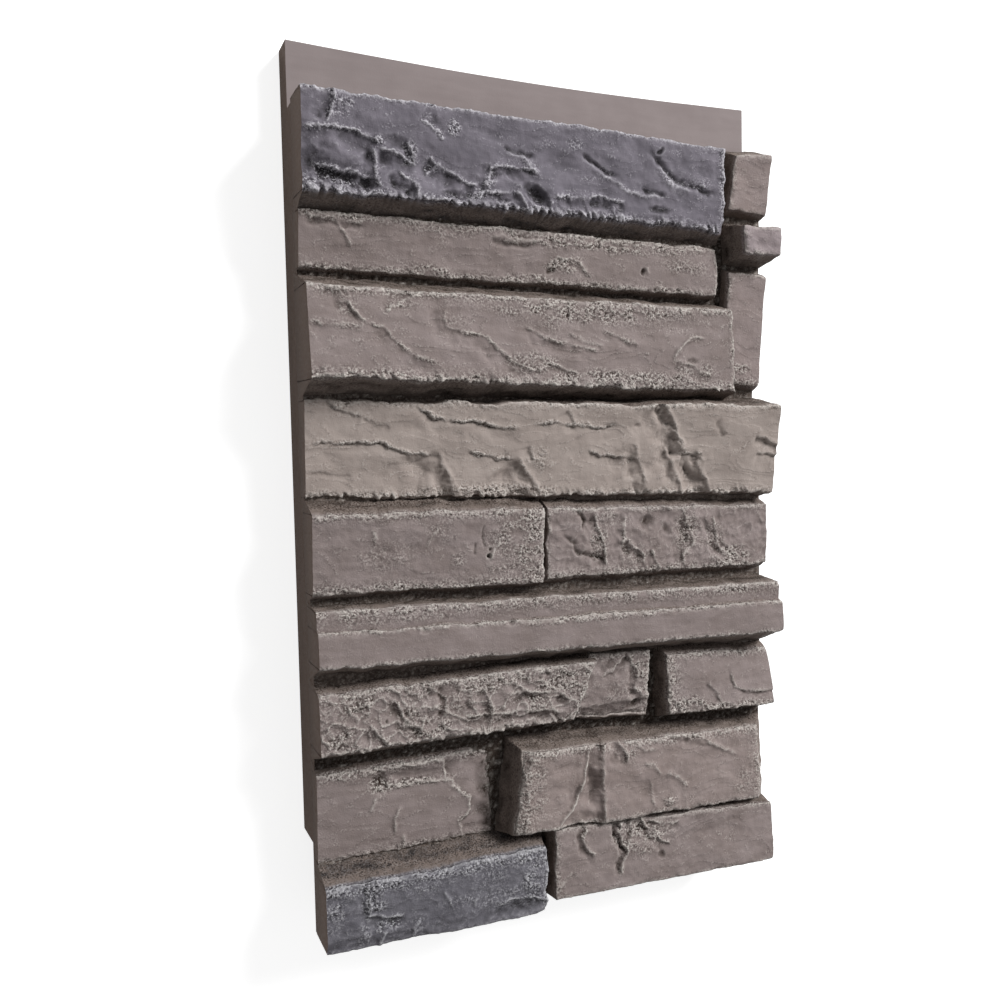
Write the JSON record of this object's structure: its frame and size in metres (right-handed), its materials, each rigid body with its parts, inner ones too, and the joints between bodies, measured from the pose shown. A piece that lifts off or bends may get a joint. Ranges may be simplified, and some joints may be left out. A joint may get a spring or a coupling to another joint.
{
  "type": "faux stone wall panel",
  "caption": "Short length of moulded foam cladding with a stacked stone face, a nailing flange along the top and a lap rabbet behind the bottom edge.",
  "frame": {"origin": "middle of the flat back, on the floor that the panel lies on", "axes": "+X along the wall to the viewer's right, +Y up the wall, +Z out of the stone face"},
  "size_m": [0.2458, 0.3939, 0.0482],
  "materials": {
    "painted_foam": "matte"
  },
  "bodies": {
    "root": {"stone_panel": "painted_foam"}
  },
  "joints": []
}
